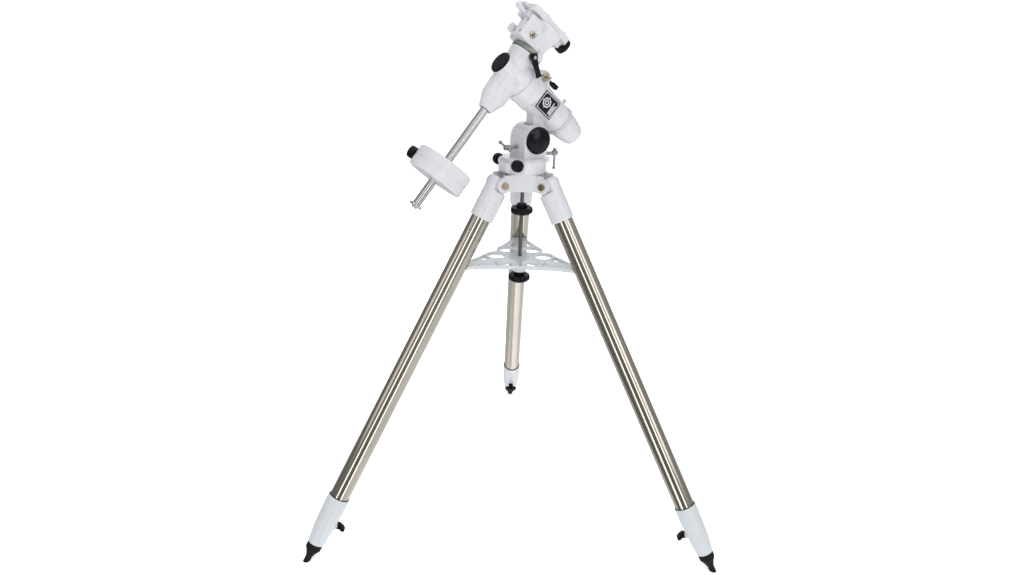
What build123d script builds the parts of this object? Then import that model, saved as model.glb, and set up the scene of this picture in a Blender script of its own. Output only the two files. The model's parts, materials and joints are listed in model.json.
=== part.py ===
from build123d import *
import math
import os

# Equatorial telescope mount on a three-legged steel tripod.
# Millimetres. Origin on the floor under the azimuth axis, +Z up, +Y to the pole (north), +X east.
# The mount is set for latitude 40 degrees and its counterweight shaft hangs in the north-south plane.

# ---------------------------------------------------------------- driving dimensions
CLEAR = 0.3                 # gap between faces that pass each other
FIT = 0.05                  # radial running clearance of a shaft in its bore

HINGE_Z = 849.0             # leg hinge height
HINGE_R = 63.0              # leg hinge distance from the azimuth axis
LEG_LEAN = 29.7             # leg angle from vertical
LEG_AZIMUTHS = {"north": 90.0, "southwest": 210.0, "southeast": 330.0}
TUBE_R = 22.25              # 1.75 inch leg tube
TUBE_WALL = 1.5
INNER_R = 14.5              # extension tube
FORK_GAP = 19.0             # half the gap between the tripod head's ears
EAR_OUT = 28.0              # outer face of an ear
CASTING_R = 26.5            # leg's upper casting
CASTING_LOW = 85.5          # its lower end, down the leg from the hinge
CLAMP_TOP = 805.0           # leg's lower casting, from and to
CLAMP_END = 928.0
LOCK_T = 880.0              # leg lock screw, down the leg

HEAD_LOW = 835.0            # tripod head casting, from and to
HEAD_TOP = 873.0
ROD_R = 4.0                 # central draw rod
ROD_LOW = 604.0
UPPER_KNOB_Z = 785.0
TRAY_TOP = 670.0
TRAY_THICK = 8.0
RING_R = 55.0               # distance of the tray's rings from its centre, and their hole
RING_HOLE = 22.0
TRAY_KNOB_Z = 621.0

DRUM_R = 51.0               # azimuth base
DRUM_TOP = 905.0
PEG_Y = 41.0                # azimuth peg that the two azimuth screws push on
PEG_R = 4.0
AZ_SCREW_Z = 894.5
AZ_BOSS_END = 28.0
AZ_KNOB_FACE = 48.5
ALT_Y = -15.0               # altitude axis
ALT_Z = 945.0
FORK_R = 33.0               # round top of the fork's cheeks
CHEEK_OUT = 32.0            # cheek's outer and inner faces
CHEEK_IN = 16.0
FORK_SOUTH = -39.0          # flat south face of the fork, and the north wall between its cheeks
FORK_WALL = -1.5
TONGUE = 6.0                # half thickness of the housing's tongue between the altitude screws
TONGUE_LOW = -44.0          # its lower end, from the altitude axis
TIP_GAP = 1.5               # altitude screw tip to tongue
SOUTH_SCREW_Z = 907.0
NORTH_SCREW_Z = 928.0
BAR_TILT = -12.0            # the north T bar's turn about its screw

LATITUDE = 40.0
CROSS_Y = 40.0              # where the RA and DEC axes cross
CROSS_Z = 1087.0
RA_WORM_R = -62.0           # RA worm's place along the RA axis, and its distance from it
RA_WORM_D = 41.0
RA_WHEEL_R = 34.2
DEC_WORM_D = 79.0           # DEC worm's place along the DEC axis, and its distance from it
DEC_WORM_R = 29.0
DEC_WHEEL_R = 23.2
DEC_LEVER_D = 44.7          # DEC clutch's place along the DEC axis, and its hub's inner face
DEC_LEVER_X = 39.0
WORM_TIP_R = 5.3
JOURNAL_R = 3.5             # worm's journals and its drive stub
STUB_R = 3.0
WHEEL_TEETH = 120
SHAFT_R = 9.0               # counterweight shaft
SHAFT_END = -345.0
WEIGHT_R = 63.5             # counterweight
WEIGHT_NEAR = -235.0
WEIGHT_FAR = -282.0
WEIGHT_TURN = -48.0         # the clamp knob's turn about the shaft, from the pole towards the east
PLATE_LOW = 118.0           # saddle plate
PLATE_TOP = 132.0
JAW_TOP = 145.0
SADDLE_SCREW_D = 124.0
JAW_HALF = 10.0             # moving jaw's half width
ARM_SLOT_D = 117.0          # slot in the saddle's arm
ARM_SLOT_R = 69.5

# ---------------------------------------------------------------- frames
# In the polar frame x points west, y along the DEC axis to the saddle, z along the RA axis to the pole.
SIN_LAT = math.sin(math.radians(LATITUDE))
COS_LAT = math.cos(math.radians(LATITUDE))
POLAR = Plane(origin=(0, CROSS_Y, CROSS_Z), x_dir=(-1, 0, 0), z_dir=(0, COS_LAT, SIN_LAT)).location
LEG_LENGTH = HINGE_Z / math.cos(math.radians(LEG_LEAN))


def leg_frame(azimuth):
    """A leg's frame: origin on its hinge, -z down the leg, x along the hinge, +y to the leg's outer side."""
    return Rot(0, 0, azimuth - 90) * Pos(0, HINGE_R, HINGE_Z) * Rot(LEG_LEAN, 0, 0)


# ---------------------------------------------------------------- helpers
def rod(radius, start, end):
    """A cylinder along z."""
    return Pos(0, 0, (start + end) / 2) * Cylinder(radius, abs(end - start))


def tube(outer, inner, start, end):
    return rod(outer, start, end) - rod(inner, start - 1, end + 1)


def turned(*outline):
    """A turned solid about z from an outline of (radius, z) points."""
    return revolve(Plane.XZ * make_face(Polyline(*outline, close=True)), Axis.Z)


def block(x, y, z):
    """A box from three (low, high) pairs."""
    size = [high - low for low, high in (x, y, z)]
    middle = [(high + low) / 2 for low, high in (x, y, z)]
    return Pos(*middle) * Box(*size)


def along_x(shape):
    """Lays a solid made along z so that its z points along x."""
    return Rot(0, 90, 0) * shape


def along_y(shape):
    """Lays a solid made along z so that its z points along y."""
    return Rot(-90, 0, 0) * shape


def across(outline, half):
    """A prism along x, half on each side, from an outline of (z, y) points."""
    return extrude(Plane(origin=(0, 0, 0), x_dir=(0, 0, 1), z_dir=(-1, 0, 0)) * make_face(outline), half, both=True)


def soften(shape, amount, axis, ends=(-1,)):
    """Rounds the edges of a solid's end faces along an axis: -1 is the far end and 0 the near one."""
    for end in ends:
        shape = fillet(shape.faces().sort_by(axis)[end].edges(), amount)
    return shape


def fluted_knob(radius, low, high, lobes, depth, bore):
    """A knob about z whose rim has round finger grooves."""
    knob = fillet(rod(radius, low, high).edges(), 1.5)
    groove = rod(depth * 1.6, low - 1, high + 1)
    for place in PolarLocations(radius + depth * 0.6, lobes):
        knob -= place * groove
    return knob - rod(bore, low - 1, high + 1)


def screw_head(radius, height, slot):
    """A slotted cheese head standing on z = 0."""
    head = fillet(rod(radius, 0, height).faces().sort_by(Axis.Z)[-1].edges(), 0.6)
    return head - block((-radius, radius), (-slot / 2, slot / 2), (height - 1.2, height + 1))


def toothed_wheel(radius, low, high, bore):
    """A fine worm wheel about z with trapezoid teeth."""
    depth = radius * 2 * math.pi / WHEEL_TEETH * 0.6
    points = []
    for tooth in range(WHEEL_TEETH):
        for share, height in ((0.0, -depth), (0.3, -depth), (0.5, 0.0), (0.8, 0.0)):
            angle = 2 * math.pi * (tooth + share) / WHEEL_TEETH
            points.append(((radius + height) * math.cos(angle), (radius + height) * math.sin(angle)))
    wheel = extrude(make_face(Polyline(*points, close=True)), high - low)
    return Pos(0, 0, low) * wheel - rod(bore, low - 1, high + 1)


def worm(stub_end, step, pitch):
    """A worm along z: journals, a run of thread ridges between them, and a flatted drive stub past the step."""
    ridges = 12
    half = ridges * pitch / 2
    outline = [(0, 1 - step), (JOURNAL_R, 1 - step), (JOURNAL_R, -half)]
    for ridge in range(ridges):
        low = -half + ridge * pitch
        outline += [(WORM_TIP_R - 0.9, low), (WORM_TIP_R, low + pitch * 0.35)]
        outline += [(WORM_TIP_R, low + pitch * 0.65)]
    outline += [(WORM_TIP_R - 0.9, half), (JOURNAL_R, half), (JOURNAL_R, step), (STUB_R, step), (STUB_R, stub_end),
                (0, stub_end)]
    return turned(*outline) - block((2.4, 4), (-4, 4), (step, stub_end + 1))


def ball_bearing(outer, inner, low, high):
    """Outer race, inner race and balls as separate solids."""
    middle = (outer + inner) / 2
    wall = (outer - inner) * 0.27
    ball = (outer - inner) * 0.2
    centre = (low + high) / 2
    races = [tube(outer, outer - wall, low, high), tube(inner + wall, inner, low, high)]
    balls = [Pos(0, 0, centre) * place * Sphere(ball) for place in PolarLocations(middle, 10)]
    return races + balls


# ---------------------------------------------------------------- tripod legs
def upper_casting():
    """The barrel that holds the tube, cut down to a tongue between the tripod head's ears."""
    barrel = soften(rod(CASTING_R, -CASTING_LOW, 13), 9, Axis.Z)
    for side in (-1, 1):
        near = side * (FORK_GAP - CLEAR)
        cut = sorted((near, side * 40))
        barrel -= block(cut, (-40, 40), (-18.5, 20))
    barrel -= block((-40, 40), (-40, -14), (-18.5, 20))
    barrel -= Pos(0, -14, 13) * Rot(45, 0, 0) * Box(60, 11, 11)
    barrel -= rod(TUBE_R, -CASTING_LOW - 1, -26)
    barrel -= along_x(rod(5 + FIT, -40, 40))
    return chamfer(barrel.faces().sort_by(Axis.Z)[0].edges(), 1.0)


def leg_tube():
    return tube(TUBE_R, TUBE_R - TUBE_WALL, -CLAMP_TOP - 28, -26)


def lower_casting():
    """The tapered clamp at the tube's foot, with a boss for the lock screw on its inner side."""
    body = turned((0, -CLAMP_TOP), (24.2, -CLAMP_TOP), (25.2, -CLAMP_TOP - 4), (25.2, -CLAMP_TOP - 34),
                  (23.4, -CLAMP_TOP - 82), (19.2, -CLAMP_END), (0, -CLAMP_END))
    body += Pos(0, 0, -LOCK_T) * along_y(rod(8, -28, 0))
    body -= rod(TUBE_R, -CLAMP_TOP - 28, 0)
    body -= rod(INNER_R + FIT, -CLAMP_END - 1, -CLAMP_TOP - 20)
    body -= Pos(0, 0, -LOCK_T) * along_y(rod(3 + FIT, -40, 0))
    return body


def lock_knob():
    """A wing screw: threaded stem, round boss and two wings."""
    stem = rod(3, INNER_R + 1, 32)
    boss = tube(7, 2.9, 29.2, 38) + rod(5, 36, 42)
    wings = extrude(make_face(Polyline((-17, 44), (-14, 37), (14, 37), (17, 44), (6, 50), (-6, 50), close=True)),
                    3.5, both=True)
    wings = Rot(90, 0, 0) * wings
    return Pos(0, 0, -LOCK_T) * along_y(Rot(180, 0, 0) * (stem + boss + wings))


def inner_tube():
    """The extension tube with its guide collar inside the outer tube."""
    return tube(INNER_R, INNER_R - 1.5, -CLAMP_END - 12, -470)


def inner_guide():
    """The guide collar on the extension tube's top end."""
    return tube(TUBE_R - TUBE_WALL - FIT, INNER_R, -492, -472)


def rubber_foot():
    """Boot on the extension tube, ending in a short blade that stands flat on the floor."""
    tip = -LEG_LENGTH
    boot = turned((0, tip - 8), (7.5, tip - 8), (7.5, tip + 13), (12, tip + 24), (18, -CLAMP_END - 15),
                  (18, -CLAMP_END - 1), (0, -CLAMP_END - 1))
    boot -= rod(INNER_R, -CLAMP_END - 12, -CLAMP_END)
    return boot - Pos(0, 0, tip) * Rot(-LEG_LEAN, 0, 0) * block((-40, 40), (-60, 60), (-40, 0))


# ---------------------------------------------------------------- tripod head
def tripod_head():
    """Six-sided casting with three pairs of ears for the legs."""
    side = 47.5
    corners = []
    for azimuth in LEG_AZIMUTHS.values():
        for offset in (EAR_OUT, -EAR_OUT):
            turn = math.radians(azimuth)
            corners.append((side * math.cos(turn) + offset * math.sin(turn),
                            side * math.sin(turn) - offset * math.cos(turn)))
    head = Pos(0, 0, HEAD_LOW) * extrude(make_face(Polyline(*corners, close=True)), HEAD_TOP - HEAD_LOW)
    head -= rod(38, HEAD_LOW - 1, HEAD_TOP - 10)
    ear = block((-EAR_OUT, EAR_OUT), (-36, 0), (HEAD_LOW - HINGE_Z, HEAD_TOP - HINGE_Z - 2))
    ear = ear + along_x(rod(16.5, -EAR_OUT, EAR_OUT))
    slot = block((-FORK_GAP, FORK_GAP), (-21, 60), (-40, 40))
    eye = along_x(rod(5, -60, 60))
    for azimuth in LEG_AZIMUTHS.values():
        spot = Rot(0, 0, azimuth - 90) * Pos(0, HINGE_R, HINGE_Z)
        head += spot * ear - rod(38, HEAD_LOW - 20, HEAD_TOP - 10)
        head -= spot * slot
        head -= spot * eye
    head -= rod(ROD_R + 1, HEAD_LOW - 20, HEAD_TOP + 5)
    return head - Pos(0, PEG_Y, 0) * rod(PEG_R, HEAD_TOP - 9, HEAD_TOP + 5)


def azimuth_peg():
    return Pos(0, PEG_Y, 0) * soften(rod(PEG_R, HEAD_TOP - 9, 900), 1, Axis.Z)


def hinge_bolts():
    """Three leg hinge bolts, each with its nut."""
    solids = []
    for azimuth in LEG_AZIMUTHS.values():
        spot = Rot(0, 0, azimuth - 90) * Pos(0, HINGE_R, HINGE_Z)
        shank = rod(5, -EAR_OUT - 7, EAR_OUT)
        head = Pos(0, 0, EAR_OUT) * screw_head(8, 4.5, 1.6)
        nut = Pos(0, 0, -EAR_OUT - 5.5) * extrude(RegularPolygon(8.5, 6), 5.5) - shank
        solids += [spot * along_x(shank + head), spot * along_x(nut)]
    return Compound(children=solids)


def center_rod():
    return soften(rod(ROD_R, ROD_LOW, HEAD_TOP + 16), 1, Axis.Z, (0,))


def star_knob(middle, bore):
    """Six-lobed hand knob with a smaller star collar on top."""
    low = middle - 12
    body = turned((0, low), (20, low), (25, low + 4), (25.5, low + 10), (24, low + 15), (0, low + 15))
    for place in PolarLocations(29.5, 6, start_angle=30):
        body -= place * rod(7, low - 1, low + 16)
    body += rod(13, low + 14, low + 19)
    collar = rod(11, low + 18, low + 24)
    for place in PolarLocations(12.5, 6, start_angle=30):
        collar -= place * rod(3.2, low + 17, low + 25)
    return body + collar - rod(bore, low - 1, low + 25)


def accessory_tray():
    """Hub, three arms that seat against the legs, side webs, and six rings for eyepieces."""
    low = TRAY_TOP - TRAY_THICK
    plate = rod(34, low, TRAY_TOP)
    plate += turned((0, TRAY_KNOB_Z + 12 + CLEAR), (15, TRAY_KNOB_Z + 12 + CLEAR), (22, low), (0, low))
    holes = []
    for azimuth in LEG_AZIMUTHS.values():
        turn = Rot(0, 0, azimuth - 90)
        plate += turn * block((-11, 11), (0, 128), (low, TRAY_TOP))
        plate += turn * block((-19, 19), (118, 150), (low + 1, TRAY_TOP))
        plate += turn * block((-2, 2), (10, 122), (low - 8, low))
        for side in (-1, 1):
            web = Polyline((side * 14, 126), (side * 19, 126), (side * 54.5, 50), (side * 51, 45), close=True)
            plate += turn * Pos(0, 0, low) * extrude(make_face(web), TRAY_THICK)
            spot = turn * Rot(0, 0, 60 + side * 29) * Pos(0, RING_R, 0)
            plate += spot * rod(RING_HOLE + 5, low, TRAY_TOP)
            holes.append(spot * rod(RING_HOLE, low - 1, TRAY_TOP + 1))
    for hole in holes:
        plate -= hole
    for azimuth in LEG_AZIMUTHS.values():
        plate -= leg_frame(azimuth) * rod(TUBE_R + 0.6, -260, -150)
    return plate - rod(ROD_R + 0.5, TRAY_KNOB_Z, TRAY_TOP + 1)


# ---------------------------------------------------------------- azimuth base and altitude screws
def azimuth_base():
    """Drum with a housing for the azimuth screws, and the fork that holds the altitude axis."""
    low = HEAD_TOP + CLEAR
    base = rod(DRUM_R, low, DRUM_TOP - 4) + rod(DRUM_R - 3, DRUM_TOP - 4, DRUM_TOP)
    base += block((-23, 23), (0, 55), (low + 2, 898))
    base = fillet(base.edges().filter_by(Axis.Z).sort_by(Axis.Y)[-2:], 8)
    base += Pos(0, PEG_Y, AZ_SCREW_Z) * along_x(rod(9.5, -AZ_BOSS_END, AZ_BOSS_END))
    cheeks = Pos(0, ALT_Y, ALT_Z) * along_x(rod(FORK_R, -CHEEK_OUT, CHEEK_OUT))
    cheeks += block((-CHEEK_OUT, CHEEK_OUT), (ALT_Y - FORK_R, ALT_Y + FORK_R), (DRUM_TOP - 10, ALT_Z))
    base += cheeks
    base -= block((-50, 50), (-80, FORK_SOUTH), (DRUM_TOP, 1000))
    base -= block((-CHEEK_IN, CHEEK_IN), (FORK_SOUTH + 5.5, ALT_Y + 24), (892, NORTH_SCREW_Z + 6))
    base -= block((-CHEEK_IN, CHEEK_IN), (-80, FORK_WALL), (NORTH_SCREW_Z + 6, 1000))
    base -= block((-CHEEK_IN, CHEEK_IN), (-80, ALT_Y), (SOUTH_SCREW_Z + 9, 1000))
    base -= Pos(0, ALT_Y, ALT_Z) * along_x(rod(7, -50, 50))
    base -= Pos(0, 0, SOUTH_SCREW_Z) * along_y(rod(4 + FIT, -60, ALT_Y))
    base -= Pos(0, 0, NORTH_SCREW_Z) * along_y(rod(4 + FIT, ALT_Y, 40))
    base -= Pos(0, PEG_Y, AZ_SCREW_Z) * along_x(rod(3 + FIT, -60, 60))
    base -= block((-13, 13), (PEG_Y - 5, PEG_Y + 4.5), (low - 1, 901))
    for side in (-1, 1):
        base -= Pos(side * AZ_BOSS_END, PEG_Y, AZ_SCREW_Z) * along_x(rod(14.5, 0, side * 40))
    base -= rod(6, low - 1, 893)
    return base - tube(30, 18, low - 1, low + 6)


def azimuth_knob(side):
    """Fluted knob and screw whose tip presses on the azimuth peg; side is -1 west, 1 east."""
    knob = fluted_knob(13, AZ_KNOB_FACE - 13, AZ_KNOB_FACE, 12, 1.2, 3)
    knob += soften(rod(3, PEG_R + 0.6, AZ_KNOB_FACE - 1), 0.8, Axis.Z, (0,))
    return Pos(0, PEG_Y, AZ_SCREW_Z) * Rot(0, 90 * side, 0) * knob


def altitude_screw(tip, eye):
    """Screw along y with a domed tip and a round eye that holds its T bar."""
    way = 1 if eye > tip else -1
    screw = soften(rod(4, 0, abs(eye - tip)), 2.5, Axis.Z, (0,))
    screw += Pos(0, 0, abs(eye - tip)) * fillet(rod(6, -6, 6).edges(), 1.2)
    screw = Pos(0, tip, 0) * Rot(-90 * way, 0, 0) * screw
    return screw


def t_bar(low, high):
    """A plain bar along z with a collar at each end."""
    return rod(2.4, low, high) + fillet(rod(4, low, low + 5).edges(), 1) + fillet(rod(4, high - 5, high).edges(), 1)


def altitude_pivot():
    """Bolt through the fork and the housing's lug, with its head on the east side."""
    bolt = rod(7 - FIT, -CHEEK_OUT - 1, CHEEK_OUT) + Pos(0, 0, CHEEK_OUT) * screw_head(15, 6, 3)
    return Pos(0, ALT_Y, ALT_Z) * along_x(bolt)


def altitude_cap():
    """Domed cap over the pivot's west end."""
    cap = turned((0, 0), (30, 0), (30, 3), (28.5, 5), (26.5, 4.6), (25.5, 5.2), (18, 7.4), (9, 8.6), (0, 9))
    cap -= rod(7, -1, 2)
    return Pos(-CHEEK_OUT, ALT_Y, ALT_Z) * Rot(0, -90, 0) * cap


# ---------------------------------------------------------------- RA axis, in the polar frame
def ra_housing():
    """Tapered barrel with a worm box on top and, below, the lug that tilts in the fork."""
    barrel = turned((0, -28.5), (38.5, -28.5), (40, -30), (40, -50), (39.2, -51), (38.6, -79), (37.4, -80),
                    (36, -98), (33.4, -164), (0, -164))
    hump = fillet(along_x(rod(17, -30, 22)).edges(), 5)
    barrel += Pos(0, 38, RA_WORM_R) * hump
    barrel += Pos(-6, 0, -85) * along_y(rod(7, 30, 44))
    pad = block((0, 50), (-27, 21), (-125, -71))
    barrel += pad
    barrel -= Pos(36, 0, 0) * pad
    lug_half = CHEEK_IN - CLEAR
    lug = along_x(rod(31, -lug_half, lug_half)) - block((-40, 40), (-40, 40), (-40, -2))
    lug -= block((-40, 40), (3, 40), (-2, 40))
    lug += along_x(rod(12.5, -lug_half, lug_half))
    lug += block((-lug_half, lug_half), (-24, 3), (0, 66))
    lug += block((2 - lug_half, lug_half - 2), (-TONGUE, TONGUE), (TONGUE_LOW, 0))
    lug -= along_x(rod(7, -40, 40))
    barrel += POLAR.inverse() * Pos(0, ALT_Y, ALT_Z) * lug
    barrel += rod(29 - FIT, -170.8, -164)
    barrel -= rod(RA_WHEEL_R + 1.3, -76, -48)
    barrel -= rod(24, -48, -20)
    barrel -= rod(17, -150, -76)
    barrel -= rod(24, -172, -150)
    barrel -= Pos(0, RA_WORM_D, RA_WORM_R) * along_x(rod(WORM_TIP_R + 1.5, -14, 14))
    barrel -= Pos(0, RA_WORM_D, RA_WORM_R) * along_x(rod(JOURNAL_R + FIT, -40, 40))
    barrel -= Pos(-6, 44, -85) * along_y(rod(3 + FIT, -9, 9))
    return barrel - Pos(0, 0, -150) * along_y(rod(2 + FIT, 27, 40))


def ra_shaft():
    """Hollow shaft with the top flange that carries the DEC housing."""
    return rod(30, -28, -22) + rod(15, -163, -28) - rod(10, -170, -10)


def ra_bearings():
    upper = ball_bearing(24, 15 + FIT, -47.5, -37.5)
    lower = ball_bearing(24, 15 + FIT, -162, -152)
    return Compound(children=upper + lower)


def ra_worm_wheel():
    return toothed_wheel(RA_WHEEL_R, RA_WORM_R - 6, RA_WORM_R + 6, 15)


def ra_worm():
    pitch = 2 * math.pi * RA_WHEEL_R / WHEEL_TEETH
    return Pos(0, RA_WORM_D, RA_WORM_R) * along_x(worm(42, 23, pitch))


def ra_setting_circle():
    """Graduated ring round the lower end of the barrel."""
    return tube(35.6, 29, -170.5, -164.3)


def ra_end_cap():
    """White cap over the polar finder's eyepiece end."""
    cap = turned((0, -226), (17, -226), (22, -224.5), (25, -219), (30.5, -190), (33.2, -171), (0, -171))
    cap += rod(24 - FIT, -172, -164)
    return cap - turned((0, -221), (18, -221), (25.5, -190), (20, -178), (20, -160), (0, -160))


def ra_clutch_lever():
    """Lever beside the worm box that locks the RA axis: brass screw, hub and short handle."""
    lever = rod(3, -8, 2) + rod(6.5, 0.4, 9)
    lever += block((-4, 4), (0, 20), (2, 8))
    lever += fillet(block((-6.5, 6.5), (14, 32), (0.5, 10.5)).edges(), 2)
    lever = Rot(-90, 0, 0) * lever
    return Pos(-6, 44, -85) * lever


def circle_lock_screw():
    """Small thumb screw that holds the RA setting circle."""
    return Pos(0, 0, -150) * along_y(rod(2, 30, 39) + fluted_knob(4, 38, 45, 8, 0.5, 1.9))


def name_plate():
    """Blank name plate on a flat pad on the west side."""
    return block((36, 38), (-25, 19), (-122, -74))


# ---------------------------------------------------------------- DEC axis, in the polar frame
def dec_housing():
    """Barrel along the DEC axis with its flange on the RA shaft and a tapered lower end."""
    body = turned((0, 49), (34, 49), (34.2, 46), (31, 27), (29.5, -40), (28.8, -41), (29.5, -42),
                  (28.1, -65), (15.5, -96), (0, -97))
    body = along_y(body)
    body -= block((-60, 60), (-100, 60), (-60, -28.2))
    neck = turned((0, -28), (38.6, -28), (39.6, -27), (38.5, -14), (31, 6), (26, 28), (25, 33), (0, 33))
    body += neck
    body -= rod(30, -29, -22)
    body -= rod(20, 24, 34)
    body -= rod(8, -23, 25)
    body -= along_y(rod(12 + FIT, -98, 50))
    body -= along_y(rod(20, 22, 36))
    body += Pos(0, DEC_LEVER_D, 2) * along_x(rod(5.5, 22, DEC_LEVER_X - CLEAR))
    body -= Pos(0, DEC_LEVER_D, 2) * along_x(rod(3 + FIT, 20, 40))
    return body - along_y(rod(20, -60, -46))


def polar_cap():
    """Black cap over the polar finder's window."""
    cap = turned((0, 33), (24.2, 33), (24.2, 36.5), (22.5, 38.5), (0, 38.5))
    return cap + tube(20 - FIT, 17, 27, 34)


def dec_bearings():
    upper = ball_bearing(20, 12 + FIT, 24, 34)
    lower = ball_bearing(20, 12 + FIT, -58, -48)
    return Compound(children=[along_y(solid) for solid in upper + lower])


def dec_shaft():
    """DEC shaft, with the polar finder's cross hole, threaded for the counterweight shaft."""
    shaft = rod(12, -95, 104) - rod(SHAFT_R - 2, -97, -70)
    return along_y(shaft) - rod(7, -20, 20)


def dec_setting_circle():
    """Graduated ring between the housing and the head."""
    ring = turned((19, 51), (34.6, 51), (35, 52), (33.4, 60), (19, 60))
    return along_y(ring)


def dec_worm_wheel():
    return along_y(toothed_wheel(DEC_WHEEL_R, DEC_WORM_D - 5, DEC_WORM_D + 5, 12 + FIT)
                   + tube(17, 12 + FIT, 49.2, DEC_WORM_D))


def dec_worm():
    pitch = 2 * math.pi * DEC_WHEEL_R / WHEEL_TEETH
    return Pos(0, DEC_WORM_D, DEC_WORM_R) * along_x(worm(52, 35, pitch))


def dec_head():
    """Head casting: worm box on the pole side, flaring out to carry the saddle plate."""
    head = turned((0, 61), (33.2, 61), (33.2, 76), (36, 96), (44, 113), (44, PLATE_LOW), (0, PLATE_LOW))
    head = along_y(head)
    for east, pole in ((-34, 40), (-2, 54)):
        box = block((east, 34), (61, 112), (4, pole))
        head += fillet(box.edges().filter_by(Axis.Y), 7)
    head += block((-22, 22), (104, PLATE_LOW), (-44, 58))
    head += Pos(-14, 74, 0) * rod(10, 30, 58)
    skirt = tube(38, 33, 60.3, 65) + tube(38, 35.4, 50.5, 60.3)
    head += along_y(skirt) - block((-50, 50), (40, 70), (-6, 50))
    head -= along_y(rod(DEC_WHEEL_R + 1.3, 55, DEC_WORM_D + 7))
    head -= along_y(rod(12, 80, 104))
    head -= Pos(0, DEC_WORM_D, DEC_WORM_R) * along_x(rod(WORM_TIP_R + 1.5, -13, 13))
    head -= Pos(0, DEC_WORM_D, DEC_WORM_R) * along_x(rod(JOURNAL_R + FIT, -60, 60))
    return head


def dec_clutch_lever():
    """Lever on the west side that locks the DEC axis: screw, hub and tapered handle."""
    reach = math.hypot(36, 19)
    turn = math.degrees(math.atan2(19, -36))
    arm = Polyline((0, 6), (reach - 3, 4.2), (reach + 3, 7), (reach + 3, -6), (reach - 3, -4.2), (0, -6), close=True)
    lever = rod(3, -14, 2) + rod(8.4, 0, 9) + Rot(0, 0, turn) * extrude(make_face(arm), 7)
    lever += rod(4, 8, 10.5)
    west = Plane(origin=(DEC_LEVER_X, DEC_LEVER_D, 2), x_dir=(0, 0, 1), z_dir=(1, 0, 0)).location
    return west * lever


# ---------------------------------------------------------------- saddle, in the polar frame
def saddle():
    """Dovetail plate: the channel runs along x. One jaw is fixed and the other slides."""
    plate = block((-36, 36), (PLATE_LOW, PLATE_TOP), (-50, 60))
    plate = fillet(plate.edges().filter_by(Axis.Y), 9)
    plate -= block((-JAW_HALF - 0.4, JAW_HALF + 0.4), (100, 140), (-51, -41.6))
    plate -= block((-18.2, 18.2), (100, 140), (-51, -46.5))
    arm = Polyline((50, PLATE_LOW), (58.3, PLATE_LOW), (58.3, 107), (80, 107), (86, 111), (84, 117), (74, 126),
                   (62, 129), (50, 129), close=True)
    arm = Pos(4, 0, 0) * across(arm, 6)
    arm -= Pos(0, ARM_SLOT_D, ARM_SLOT_R) * along_x(extrude(SlotCenterToCenter(10, 8), 20, both=True))
    lug = Polyline((12, JAW_TOP - 4), (30, JAW_TOP - 6), (32, PLATE_TOP - 1), (15, PLATE_TOP - 1), close=True)
    plate += arm + across(lug, 18)
    return plate - Pos(0, SADDLE_SCREW_D, 0) * rod(4 + FIT, -60, -8)


def saddle_jaw():
    """Moving jaw: stands on the plate's south end and leans over it with an undercut lip."""
    side = Polyline((-54.3, PLATE_LOW + CLEAR), (-49.8, PLATE_LOW + CLEAR), (-49.8, PLATE_TOP + CLEAR),
                    (-44, PLATE_TOP + CLEAR), (-40, JAW_TOP - 1), (-46, JAW_TOP - 1), (-54.3, PLATE_TOP + 3),
                    close=True)
    jaw = across(side, JAW_HALF)
    return jaw - Pos(0, SADDLE_SCREW_D, 0) * rod(4 + FIT, -60, -40)


def saddle_knob():
    """Fluted clamp knob with the screw that draws the jaw in."""
    knob = fluted_knob(17.5, -69, -55, 12, 1.4, 3.9) + rod(4, -68, -20)
    return Pos(0, SADDLE_SCREW_D, 0) * knob


# ---------------------------------------------------------------- counterweight, in the polar frame
def counterweight_shaft():
    shaft = soften(rod(SHAFT_R, SHAFT_END, -97), 1, Axis.Z, (0,)) + rod(SHAFT_R - 2, -97, -71)
    return along_y(shaft)


def end_screw():
    """Safety flange screwed on the shaft's end."""
    flange = fillet(rod(14, SHAFT_END - 5, SHAFT_END).edges(), 1.5)
    return along_y(flange + screw_head(6, 4, 2).mirror(Plane.XY).moved(Pos(0, 0, SHAFT_END - 5)))


def counterweight():
    """Cast disc with round edges and a slight waist, bored for the shaft and for its clamp screw."""
    weight = fillet(rod(WEIGHT_R, WEIGHT_FAR, WEIGHT_NEAR).edges(), 4)
    middle = (WEIGHT_FAR + WEIGHT_NEAR) / 2
    weight -= tube(WEIGHT_R + 2, WEIGHT_R - 0.8, middle - 1, middle + 1)
    weight -= rod(SHAFT_R + FIT, WEIGHT_FAR - 1, WEIGHT_NEAR + 1)
    weight = along_y(weight)
    return weight - Pos(0, middle, 0) * rod(5, SHAFT_R, WEIGHT_R + 5)


def counterweight_knob():
    middle = (WEIGHT_FAR + WEIGHT_NEAR) / 2
    knob = fluted_knob(13.5, WEIGHT_R + 4, WEIGHT_R + 18, 10, 1.3, 4) + rod(5 - FIT, SHAFT_R + 0.4, WEIGHT_R + 17)
    return Pos(0, middle, 0) * knob


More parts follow.
